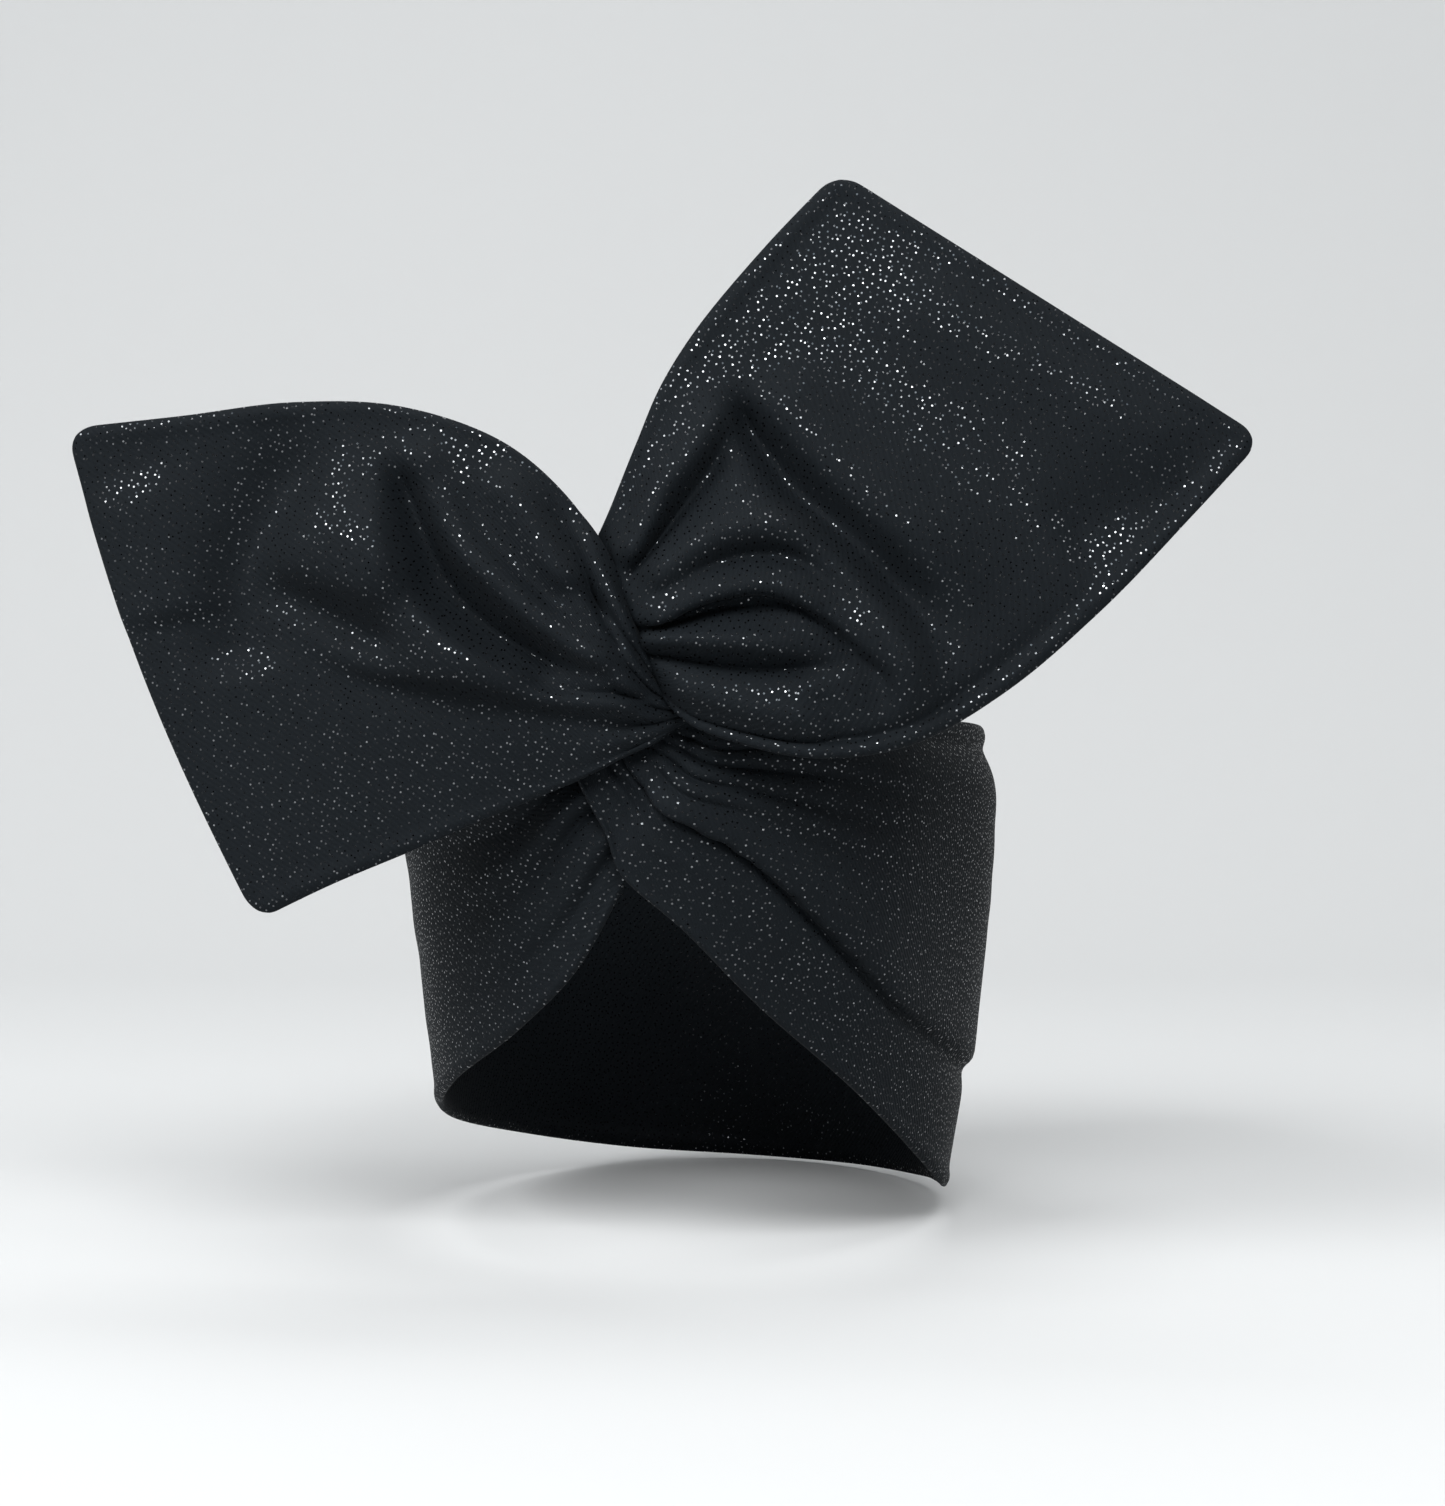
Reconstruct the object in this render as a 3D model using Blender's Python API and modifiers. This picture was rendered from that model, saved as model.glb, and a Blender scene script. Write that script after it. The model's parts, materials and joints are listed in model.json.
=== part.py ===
"""Wired twist head wrap with a two-wing bow.

One long strip of doubled cloth has a covered wire in the casing along its edges.
It goes round the head from the nape, crosses over itself above the forehead, and its
two ends stand out there as the wings of a bow.  The first arm of the strip is the left
wing, the neck that passes over the crossing, and the right side of the band.  The second
arm is the right wing, the neck that passes under, and the left side of the band.

Each wing bends about the line where it leaves its neck, so the cloth, the wire and the
seam thread are cut there.  The band is also cut at each side, behind the ears.

Frame: metres, +Z up, the front towards -Y, the wearer's face between the band's sides.
The origin is on the head's axis, at the level where the head is widest.
"""

import math

import bmesh
import bpy
from mathutils import Vector

MM = 0.001

# ---- Driving dimensions -------------------------------------------------------------

STRIP_WIDTH = 127 * MM  # finished width of the doubled strip
CLOTH = 0.6 * MM  # one layer of knit
EDGE_GAP = 0.3 * MM  # between the two layers at the sewn edge
CORNER_RADIUS = 7 * MM  # at the four corners of the wing tips

WIRE_DIAMETER = 1.2 * MM  # covered wire
WIRE_PLAY = 0.3 * MM  # round the wire, to either layer
WIRE_INSET = 3.2 * MM  # wire centre, in from the strip's edge
THREAD_DIAMETER = 0.4 * MM  # the run of stitches that closes the edge
SEAM_SHARE = 0.375  # how far in the thread runs, from the strip's edge to the wire

HEAD_HALF_WIDTH = 77.5 * MM  # a head of about 56 cm
HEAD_HALF_DEPTH = 97.5 * MM
HEAD_CROWN = 90 * MM  # how quickly the head draws in above its widest level
HEAD_DROP = 110 * MM  # depth below that level where the next value holds
HEAD_DROP_TAPER = 0.174  # share of the width lost at that depth
BAND_STANDOFF = 3.5 * MM  # middle of the doubled cloth, off the head

TWIST_SIDE = 8.3 * MM  # the crossing: to the wearer's left of centre
TWIST_HEIGHT = 34 * MM
TWIST_STANDOFF = 12.5 * MM  # in front of the forehead
BOW_TURN = math.radians(10)  # the bow faces this much to the wearer's left

LEFT_WING_LENGTH = 120 * MM  # crossing to the middle of the tip
LEFT_WING_ANGLE = math.radians(180.6)  # from +X, turning up
LEFT_TIP_ANGLE = math.radians(-68.9)  # run of the tip edge, upper corner to lower
RIGHT_WING_LENGTH = 132.5 * MM
RIGHT_WING_ANGLE = math.radians(42.5)
RIGHT_TIP_ANGLE = math.radians(-32.0)

WING_BELLY = 6 * MM  # how far a wing's middle stands forward, near its neck

BEND_FORWARD = math.radians(60)  # the furthest that a wing bends
BEND_CLEARANCE = 0.9 * MM

# ---- Sizes that follow from them ----------------------------------------------------

CASING_HALF = WIRE_DIAMETER / 2 + WIRE_PLAY  # middle of the strip to either layer
CASING_RISE = WIRE_INSET - WIRE_DIAMETER / 2 - 0.2 * MM  # inset where it is fully open
HALF_THICKNESS = CASING_HALF + CLOTH
THREAD_INSET = WIRE_INSET * SEAM_SHARE
CUT_GAP = CLOTH / 2  # between two sections, whose ends lean together on the inside of a curve
BEND_GAP = HALF_THICKNESS * math.tan(BEND_FORWARD / 2) + BEND_CLEARANCE

WING_ROWS = 10  # facets along a wing, short of its rounded corners
WING_COLUMNS = 6
BAND_COLUMNS = 8
STEP = 0.02  # for slopes, as a share of a surface


# ---- The head and the bow's own axes ------------------------------------------------


def head_point(angle, height, standoff):
    """A point off the head; the angle in degrees turns from the front to +X."""
    if height > 0:
        share = math.sqrt(max(0.0, 1 - (height / HEAD_CROWN) ** 2))
    else:
        share = 1 - HEAD_DROP_TAPER * (-height / HEAD_DROP) ** 1.35
    turn = math.radians(angle)
    return Vector(
        (
            (HEAD_HALF_WIDTH * share + standoff) * math.sin(turn),
            -(HEAD_HALF_DEPTH * share + standoff) * math.cos(turn),
            height,
        )
    )


def bow_point(right, up, back):
    """A point given in millimetres from the crossing, along the bow's own axes."""
    twist = Vector((TWIST_SIDE, -HEAD_HALF_DEPTH - TWIST_STANDOFF, TWIST_HEIGHT))
    across = Vector((math.cos(BOW_TURN), math.sin(BOW_TURN), 0))
    away = Vector((-math.sin(BOW_TURN), math.cos(BOW_TURN), 0))
    return twist + (across * right + Vector((0, 0, up)) + away * back) * MM


# Each bend line: its upper end, its lower end, and the way the wing leaves it.
LEFT_BEND = (bow_point(-14, 30, 3), bow_point(-19, -27, 1))
RIGHT_BEND = (bow_point(-9, 37, 7), bow_point(5, -5, 6))


def off_bend(bend, way):
    """The bend line moved clear of the hinge axis, to the wing's side or the neck's."""
    along = (bend[1] - bend[0]).normalized()
    flat = bow_point(0, 0, 1) - bow_point(0, 0, 0)
    aside = flat.cross(along).normalized() * way * BEND_GAP
    return bend[0] + aside, bend[1] + aside


# ---- The wings ----------------------------------------------------------------------


class Wing:
    """One end of the strip, from its bend line to its tip.

    The two long edges bow out from their chords: each is a sine whose peak is moved
    towards the neck by a power.  Rows cross the wing, and u runs from neck to tip.
    """

    def __init__(self, bend, way, length, angle, tip_angle, sags, skews, backs, dips):
        self.start = off_bend(bend, way)
        middle = Vector((math.cos(angle), math.sin(angle))) * length / MM
        half = Vector((math.cos(tip_angle), math.sin(tip_angle))) * STRIP_WIDTH / 2 / MM
        upper, lower = middle - half, middle + half
        self.tip = (bow_point(*upper, backs[0]), bow_point(*lower, backs[1]))
        self.sags, self.skews, self.dips = sags, skews, dips
        self.facing = way
        self.front = bow_point(0, 0, -1) - bow_point(0, 0, 0)
        self.chords = [(self.tip[k] - self.start[k]).length for k in (0, 1)]

    def edge(self, k, u):
        """A point on the upper (0) or lower (1) long edge."""
        chord = self.tip[k] - self.start[k]
        out = chord.cross(self.front).normalized() * self.facing * (1, -1)[k]
        u = max(u, 0.0)
        bow = out * self.sags[k] * MM * math.sin(math.pi * min(u, 1.0) ** self.skews[k])
        dip = self.front * self.dips[k] * early_peak(u, 4)
        return self.start[k] + chord * u + bow + dip

    def width(self, u):
        return (self.edge(1, u) - self.edge(0, u)).length

    def point(self, u, v):
        """A point in the middle of the cloth; v runs from the upper edge to the lower."""
        belly = WING_BELLY * math.sin(math.pi * min(max(v, 0), 1)) * early_peak(u, 2) / MM
        return self.edge(0, u).lerp(self.edge(1, u), v) + self.front * belly

    def cloth(self, from_tip, inset, edge):
        """The (u, v) of a place given by its distances from the tip and a long edge."""
        u = 1 - from_tip / self.chords[edge]
        share = inset / self.width(u)
        return u, (share, 1 - share)[edge]

    def rows(self):
        """Rows of (u, v, inset) across the wing, with its two tip corners rounded."""
        near = [0, CASING_RISE, (CASING_RISE + CORNER_RADIUS) / 2, CORNER_RADIUS]
        rows = []
        shares = [(n + 1) / WING_ROWS for n in range(WING_ROWS)]
        for s, share in [(s, None) for s in near] + [(None, share) for share in shares]:
            row = []
            for edge in (0, 1):
                length = self.chords[edge]
                from_tip = s if share is None else CORNER_RADIUS + (length - CORNER_RADIUS) * share
                side = []
                for t in near:
                    a, b = rounded(from_tip, t)
                    side.append((*self.cloth(a, b, edge), min(from_tip, t)))
                row.append(side)
            first, last = row[0], row[1][::-1]
            between = []
            for n in range(1, WING_COLUMNS):
                f = n / WING_COLUMNS
                u = first[-1][0] * (1 - f) + last[0][0] * f
                v = first[-1][1] * (1 - f) + last[0][1] * f
                between.append((u, v, CORNER_RADIUS if share is not None else min(s, CORNER_RADIUS)))
            rows.append(first + between + last)
        return rows

    def rim(self, inset):
        """The path at one inset, up one long edge, round the tip and back down the other."""
        path = []
        for edge in (0, 1):
            length = self.chords[edge]
            side = []
            for n in range(WING_ROWS + 1):
                from_tip = length - (length - CORNER_RADIUS) * n / WING_ROWS
                side.append(self.cloth(from_tip, inset, edge))
            for n in (1, 2, 3):
                turn = math.radians(90 * n / 4)
                reach = CORNER_RADIUS - inset
                a = CORNER_RADIUS - reach * math.sin(turn)
                b = CORNER_RADIUS - reach * math.cos(turn)
                side.append(self.cloth(a, b, edge))
            path.append(side)
        across = []
        for n in range(WING_COLUMNS + 1):
            f = n / WING_COLUMNS
            share = CORNER_RADIUS / STRIP_WIDTH
            across.append((1 - inset / self.chords[0], share + (1 - 2 * share) * f))
        return [self.point(u, v) for u, v in path[0] + across + path[1][::-1]]


def early_peak(u, power):
    """Rises from 0 to 1 soon after u = 0 and dies away towards u = 1."""
    u = min(max(u, 0.0), 1.0)
    top = 1 / (power + 1)
    return u * (1 - u) ** power / (top * (1 - top) ** power)


def rounded(a, b):
    """Moves a place near a square corner so that the corner becomes an arc."""
    if a >= CORNER_RADIUS or b >= CORNER_RADIUS:
        return a, b
    p, q = 1 - a / CORNER_RADIUS, 1 - b / CORNER_RADIUS
    p, q = p * math.sqrt(1 - q * q / 2), q * math.sqrt(1 - p * p / 2)
    return CORNER_RADIUS * (1 - p), CORNER_RADIUS * (1 - q)


LEFT_WING = Wing(
    LEFT_BEND, 1, LEFT_WING_LENGTH, LEFT_WING_ANGLE, LEFT_TIP_ANGLE,
    sags=(23.5, -1), skews=(0.7, 1), backs=(14, 8), dips=(2, 1),
)
RIGHT_WING = Wing(
    RIGHT_BEND, -1, RIGHT_WING_LENGTH, RIGHT_WING_ANGLE, RIGHT_TIP_ANGLE,
    sags=(7.7, 31.7), skews=(0.87, 0.625), backs=(22, 18), dips=(2, 8),
)


# ---- The band and its two necks -----------------------------------------------------


def neck_rib(upper, lower):
    """A rib across the strip where it is gathered, straight between two places."""
    return lambda v: upper.lerp(lower, v)


def band_rib(low_angle, low, high_angle, spread, off_low=0.0, off_high=0.0):
    """A rib that lies on the head, from its lower edge up by a share of the strip."""
    high = low * MM + spread * STRIP_WIDTH

    def rib(v):
        angle = high_angle + (low_angle - high_angle) * v
        height = high + (low * MM - high) * v
        off = BAND_STANDOFF + (off_high + (off_low - off_high) * v) * MM
        return head_point(angle, height, off)

    return rib


OVER_START, OVER_END = 0, 4
UNDER_START, UNDER_END = 20, 22
RIGHT_SIDE_CUT, LEFT_SIDE_CUT = 10, 14

RIBS = [
    # the neck that passes over, from the left wing's bend line
    neck_rib(*off_bend(LEFT_BEND, -1)),
    neck_rib(bow_point(-8, 22, 1), bow_point(-16.1, -28.2, 1)),
    neck_rib(bow_point(-1.5, 6, 0), bow_point(-15.5, -29.2, 1.2)),
    neck_rib(bow_point(3, -8, 1), bow_point(-14.8, -30.6, 2)),
    neck_rib(bow_point(9, -15, 4), bow_point(-13.5, -34, 4)),
    # the right side of the band, round to the nape
    band_rib(-1, -15, 17, 0.265, 4.5, 5.5),
    band_rib(10, -30, 28, 0.40, 3.5, 3.0),
    band_rib(23, -49, 42, 0.567, 1.5, 1.0),
    band_rib(45, -73.5, 60, 0.75, 0.3),
    band_rib(84, -106, 90, 0.985),
    band_rib(120, -113, 120, 1.0),
    band_rib(150, -115, 150, 1.0),
    band_rib(180, -115, 180, 1.0),
    band_rib(210, -112, 210, 1.0),
    # the left side of the band, forward to the crossing
    band_rib(240, -104, 240, 1.0),
    band_rib(273, -92, 270, 0.97),
    band_rib(312, -74, 300, 0.86),
    band_rib(336, -57, 318, 0.72, 0, 1.5),
    band_rib(350, -40.5, 331, 0.568, 0, 4.0),
    band_rib(360, -18, 341, 0.393, 0, 7.5),
    # the neck that passes under, to the right wing's bend line
    neck_rib(bow_point(-23, 10, 10), bow_point(-3, -27, 10)),
    neck_rib(bow_point(-17, 26, 8.5), bow_point(2, -16, 9)),
    neck_rib(*off_bend(RIGHT_BEND, 1)),
]


def strip_point(u, v):
    """The strip's middle: u counts ribs, v runs from its upper edge to its lower.

    A centripetal Catmull-Rom curve runs through the same place on every rib.
    """
    last = len(RIBS) - 1
    n = min(max(int(math.floor(u)), 0), last - 1)
    b, c = RIBS[n](v), RIBS[n + 1](v)
    a = RIBS[n - 1](v) if n > 0 else b * 2 - c
    d = RIBS[n + 2](v) if n + 2 <= last else c * 2 - b
    t = [0.0]
    for p, q in ((a, b), (b, c), (c, d)):
        t.append(t[-1] + max((q - p).length, 1e-7) ** 0.5)
    at = t[1] + (t[2] - t[1]) * (u - n)

    def mix(p, q, low, high):
        return p * ((high - at) / (high - low)) + q * ((at - low) / (high - low))

    ab, bc, cd = mix(a, b, t[0], t[1]), mix(b, c, t[1], t[2]), mix(c, d, t[2], t[3])
    return mix(mix(ab, bc, t[0], t[2]), mix(bc, cd, t[1], t[3]), t[1], t[2])


def strip_places(u, inset_from_upper=None, inset_from_lower=None):
    """The v of a place at a distance from one edge."""
    width = (strip_point(u, 1) - strip_point(u, 0)).length
    if inset_from_upper is not None:
        return inset_from_upper / width
    return 1 - inset_from_lower / width


def strip_rows(start, end, per_rib):
    """Rows of (u, v, inset) for one section of the strip, with a gap at each cut."""
    count = int(round((end - start) * per_rib))
    rows = []
    for n in range(count + 1):
        u = start + (end - start) * n / count
        u = cut_back(u, start, end)
        width = (strip_point(u, 1) - strip_point(u, 0)).length
        insets = [0] + [
            CASING_RISE + (width - 2 * CASING_RISE) * m / BAND_COLUMNS
            for m in range(BAND_COLUMNS + 1)
        ] + [width]
        rows.append([(u, t / width, min(t, width - t)) for t in insets])
    return rows


def cut_back(u, start, end):
    """Holds a section's end rows clear of the next section, by half the gap at a cut."""
    for end_u, way in ((start, 1), (end, -1)):
        if abs(u - end_u) < 1e-9 and 0 < end_u < len(RIBS) - 1:
            span = (strip_point(end_u + 0.01, 0.5) - strip_point(end_u, 0.5)).length
            return u + way * 0.01 * CUT_GAP / 2 / span
    return u


def strip_run(inset, upper):
    """The path at one inset along the whole strip, between the two bend lines."""
    path = []
    for n in range(2 * (len(RIBS) - 1) + 1):
        u = n / 2
        v = strip_places(u, inset) if upper else strip_places(u, None, inset)
        path.append(strip_point(u, v))
    return path


# ---- Making the objects -------------------------------------------------------------


def empty_scene():
    for thing in list(bpy.context.scene.objects):
        bpy.data.objects.remove(thing, do_unlink=True)


def material(name, colour, roughness, metallic=0.0):
    made = bpy.data.materials.new(name)
    made.use_nodes = True
    shader = made.node_tree.nodes["Principled BSDF"]
    shader.inputs["Base Color"].default_value = (*colour, 1)
    shader.inputs["Roughness"].default_value = roughness
    shader.inputs["Metallic"].default_value = metallic
    made.diffuse_color = (*colour, 1)
    return made


def keep(thing, collection, look, hinge=None):
    collection.objects.link(thing)
    thing.data.materials.append(look)
    if hinge is not None:
        thing.parent = hinge
        thing.matrix_parent_inverse = hinge.matrix_world.inverted()


def casing(inset):
    """Half the space between the two layers, at one inset from the edge."""
    rise = min(1.0, inset / CASING_RISE)
    return EDGE_GAP / 2 + (CASING_HALF - EDGE_GAP / 2) * rise


def layer(name, surface, rows, side, collection, look, hinge=None):
    """One layer of cloth: a curved sheet off the strip's middle, given its thickness.

    The side is 1 for the layer that faces out and -1 for the lining.
    """
    mesh = bmesh.new()
    grid = []
    for row in rows:
        line = []
        for u, v, inset in row:
            along = surface(u + STEP, v) - surface(u - STEP, v)
            across = surface(u, v + STEP) - surface(u, v - STEP)
            outward = along.cross(across).normalized()
            outward *= side * surface_sign(surface)
            line.append(mesh.verts.new(surface(u, v) + outward * casing(inset)))
        grid.append(line)
    for first, second in zip(grid, grid[1:]):
        for m in range(len(first) - 1):
            mesh.faces.new((first[m], second[m], second[m + 1], first[m + 1]))
    mesh.normal_update()
    middle = rows[len(rows) // 2][len(rows[0]) // 2]
    face = grid[len(rows) // 2][len(rows[0]) // 2].link_faces[0]
    if face.normal.dot(face.calc_center_median() - surface(middle[0], middle[1])) < 0:
        bmesh.ops.reverse_faces(mesh, faces=mesh.faces)
    data = bpy.data.meshes.new(name)
    mesh.to_mesh(data)
    mesh.free()
    data.shade_smooth()
    thing = bpy.data.objects.new(name, data)
    solid = thing.modifiers.new("Solidify", "SOLIDIFY")
    solid.thickness = CLOTH
    solid.offset = 1
    solid.use_even_offset = False
    keep(thing, collection, look, hinge)


def surface_sign(surface):
    """Which way the surface's own normal points: 1 is away from the head."""
    return {LEFT_WING.point: -1, RIGHT_WING.point: 1, strip_point: -1}[surface]


def tube(name, path, diameter, sides_level, collection, look, hinge=None):
    """A round wire or thread along a path."""
    curve = bpy.data.curves.new(name, "CURVE")
    curve.dimensions = "3D"
    curve.bevel_depth = diameter / 2
    curve.bevel_resolution = sides_level
    curve.use_fill_caps = True
    spline = curve.splines.new("POLY")
    spline.points.add(len(path) - 1)
    for place, point in zip(spline.points, path):
        place.co = (*point, 1)
    thing = bpy.data.objects.new(name, curve)
    keep(thing, collection, look, hinge)


def bend_axis(name, bend, collection):
    """An empty on a wing's bend line, whose Z runs along it."""
    axis = bpy.data.objects.new(name, None)
    axis.location = (bend[0] + bend[1]) / 2
    axis.rotation_mode = "QUATERNION"
    axis.rotation_quaternion = (bend[0] - bend[1]).to_track_quat("Z", "Y")
    collection.objects.link(axis)
    bpy.context.view_layer.update()
    return axis


def build_wing(side, wing, bend, collection, looks):
    axis = bend_axis(f"{side}_bend_axis", bend, collection)
    rows = wing.rows()
    layer(f"{side}_wing_face", wing.point, rows, 1, collection, looks["face"], axis)
    layer(f"{side}_wing_lining", wing.point, rows, -1, collection, looks["lining"], axis)
    wire, thread = wing.rim(WIRE_INSET), wing.rim(THREAD_INSET)
    tube(f"{side}_wing_wire", wire, WIRE_DIAMETER, 2, collection, looks["wire"], axis)
    tube(f"{side}_wing_seam", thread, THREAD_DIAMETER, 1, collection, looks["thread"], axis)


def build_strip(collection, looks):
    sections = {
        "neck_over": (OVER_START, OVER_END, 2),
        "right_band": (OVER_END, RIGHT_SIDE_CUT, 2),
        "back_band": (RIGHT_SIDE_CUT, LEFT_SIDE_CUT, 2),
        "left_band": (LEFT_SIDE_CUT, UNDER_START, 2),
        "neck_under": (UNDER_START, UNDER_END, 3),
    }
    for name, (start, end, per_rib) in sections.items():
        rows = strip_rows(start, end, per_rib)
        layer(f"{name}_face", strip_point, rows, 1, collection, looks["face"])
        layer(f"{name}_lining", strip_point, rows, -1, collection, looks["lining"])
    for edge, upper in (("upper", True), ("lower", False)):
        wire, thread = strip_run(WIRE_INSET, upper), strip_run(THREAD_INSET, upper)
        tube(f"band_{edge}_wire", wire, WIRE_DIAMETER, 2, collection, looks["wire"])
        tube(f"band_{edge}_seam", thread, THREAD_DIAMETER, 1, collection, looks["thread"])


empty_scene()
bow = bpy.data.collections.new("twist_head_wrap")
bpy.context.scene.collection.children.link(bow)
finishes = {
    "face": material("black_glitter_knit", (0.012, 0.014, 0.017), 0.62),
    "lining": material("black_knit_lining", (0.010, 0.011, 0.013), 0.8),
    "wire": material("covered_wire", (0.02, 0.02, 0.02), 0.6),
    "thread": material("black_thread", (0.008, 0.008, 0.008), 0.7),
}
build_wing("left", LEFT_WING, LEFT_BEND, bow, finishes)
build_wing("right", RIGHT_WING, RIGHT_BEND, bow, finishes)
build_strip(bow, finishes)
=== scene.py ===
import json
import math

import bpy
import numpy as np
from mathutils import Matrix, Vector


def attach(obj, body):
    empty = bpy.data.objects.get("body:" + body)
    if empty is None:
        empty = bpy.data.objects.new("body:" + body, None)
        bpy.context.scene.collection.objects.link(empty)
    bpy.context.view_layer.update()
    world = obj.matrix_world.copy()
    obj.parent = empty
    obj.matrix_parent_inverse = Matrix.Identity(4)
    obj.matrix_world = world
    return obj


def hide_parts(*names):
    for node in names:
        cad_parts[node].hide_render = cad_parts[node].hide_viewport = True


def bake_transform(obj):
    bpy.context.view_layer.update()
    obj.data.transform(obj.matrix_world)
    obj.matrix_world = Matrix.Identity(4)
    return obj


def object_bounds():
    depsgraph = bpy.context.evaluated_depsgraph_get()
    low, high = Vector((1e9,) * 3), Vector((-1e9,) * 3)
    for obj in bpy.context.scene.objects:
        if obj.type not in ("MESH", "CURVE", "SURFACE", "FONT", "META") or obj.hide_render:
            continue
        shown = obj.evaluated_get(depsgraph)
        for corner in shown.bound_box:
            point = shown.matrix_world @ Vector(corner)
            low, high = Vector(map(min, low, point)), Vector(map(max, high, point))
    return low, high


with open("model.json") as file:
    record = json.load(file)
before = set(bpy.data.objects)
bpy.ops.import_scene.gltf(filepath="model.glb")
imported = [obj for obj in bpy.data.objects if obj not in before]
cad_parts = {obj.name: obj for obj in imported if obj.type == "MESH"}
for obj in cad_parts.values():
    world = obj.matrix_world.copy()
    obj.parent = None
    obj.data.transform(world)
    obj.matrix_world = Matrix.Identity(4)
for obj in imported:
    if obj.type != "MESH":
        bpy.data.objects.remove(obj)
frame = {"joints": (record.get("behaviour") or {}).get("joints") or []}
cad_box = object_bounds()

MM = 0.001


# ---- Camera and stage -------------------------------------------------------------------
# A pale seamless sweep: a floor just under the band's lowest edge that curves up into a
# wall.  The camera looks straight at the bow, which is turned to the wearer's left.

BOW_TURN = math.radians(10)
CAMERA_DISTANCE = 0.874  # from the head's axis
CAMERA_RISE = math.radians(2)
CAMERA_AIM = (6.2 * MM, 10.2 * MM)  # right of the head's axis and above the origin
LENS = 75.4
SIGHT = 20

ACROSS = np.array((math.cos(BOW_TURN), math.sin(BOW_TURN), 0.0))
AWAY = np.array((-math.sin(BOW_TURN), math.cos(BOW_TURN), 0.0))
UP = np.array((0.0, 0.0, 1.0))


camera = bpy.data.objects.new("camera", bpy.data.cameras.new("camera"))
bpy.context.scene.collection.objects.link(camera)
camera.data.lens = LENS
camera.data.clip_end = SIGHT
target = ACROSS * CAMERA_AIM[0] + UP * CAMERA_AIM[1]
back = -AWAY * math.cos(CAMERA_RISE) + UP * math.sin(CAMERA_RISE)
camera.location = target + back * CAMERA_DISTANCE
camera.rotation_euler = (math.radians(90) - CAMERA_RISE, 0, BOW_TURN)
bpy.context.scene.camera = camera


def area_light(name, place, size, power):
    light = bpy.data.objects.new(name, bpy.data.lights.new(name, "AREA"))
    bpy.context.scene.collection.objects.link(light)
    light.data.shape = "RECTANGLE"
    light.data.size, light.data.size_y = size
    light.data.energy = power
    light.location = place
    middle = (cad_box[0] + cad_box[1]) / 2
    light.rotation_euler = (middle - light.location).to_track_quat("-Z", "Y").to_euler()


area_light("ceiling_light", (0.36, -1.35, 1.15), (1.0, 0.6), 31)
area_light("window_light", (-1.15, -1.1, 1.0), (1.0, 0.9), 31)
area_light("right_fill", (1.9, -0.4, 0.9), (0.7, 1.2), 6)
area_light("back_light", (0.1, 0.5, 2.4), (2.6, 1.2), 40)

SWEEP_SIZE = 9.0
SWEEP_BACK = 1.5  # from the head's axis to the wall
SWEEP_RADIUS = 0.9
SWEEP_GAP = 0.6 * MM  # under the band
PAPER_TONE = (0.5, 0.51, 0.515)
DAYLIGHT = (0.86, 0.92, 1.0, 1)
DAYLIGHT_STRENGTH = 0.12

bpy.ops.object.select_all(action="DESELECT")
bpy.ops.mesh.primitive_plane_add(size=SWEEP_SIZE, location=(0, SWEEP_BACK - SWEEP_SIZE / 2, 0))
sweep = bpy.context.object
sweep.name = "studio_sweep"
bpy.ops.object.transform_apply(location=True, rotation=True, scale=True)
for edge in sweep.data.edges:
    edge.select = all(sweep.data.vertices[n].co.y > 0 for n in edge.vertices)
for vertex in sweep.data.vertices:
    vertex.select = vertex.co.y > 0
bpy.ops.object.mode_set(mode="EDIT")
bpy.ops.mesh.select_mode(type="EDGE")
bpy.ops.mesh.extrude_region_move(TRANSFORM_OT_translate={"value": (0, 0, SWEEP_SIZE / 2)})
bpy.ops.object.mode_set(mode="OBJECT")
for vertex in sweep.data.vertices:
    vertex.select = vertex.co.y > 0 and vertex.co.z < MM
for edge in sweep.data.edges:
    edge.select = all(sweep.data.vertices[n].select for n in edge.vertices)
for face in sweep.data.polygons:
    face.select = False
bpy.ops.object.mode_set(mode="EDIT")
bpy.ops.mesh.bevel(offset=SWEEP_RADIUS, segments=32)
bpy.ops.object.mode_set(mode="OBJECT")
bpy.ops.object.shade_smooth()
sweep.rotation_euler = (0, 0, BOW_TURN)
sweep.location = (0, 0, cad_box[0].z - SWEEP_GAP)
bpy.ops.object.transform_apply(location=True, rotation=True, scale=True)


class Value:
    """A socket in a material's node tree that can be used in an expression."""

    def __init__(self, tree, socket):
        self.tree, self.socket = tree, socket

    def math(self, operation, *others, swapped=False):
        node = self.tree.nodes.new("ShaderNodeMath")
        node.operation = operation
        terms = [self, *others]
        if swapped:
            terms.reverse()
        for slot, term in zip(node.inputs, terms):
            if isinstance(term, Value):
                self.tree.links.new(term.socket, slot)
            else:
                slot.default_value = term
        return Value(self.tree, node.outputs[0])

    def __add__(self, other):
        return self.math("ADD", other)

    __radd__ = __add__

    def __mul__(self, other):
        return self.math("MULTIPLY", other)

    __rmul__ = __mul__

    def __sub__(self, other):
        return self.math("SUBTRACT", other)

    def __rsub__(self, other):
        return self.math("SUBTRACT", other, swapped=True)

    def __lt__(self, other):
        return self.math("LESS_THAN", other)


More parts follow.
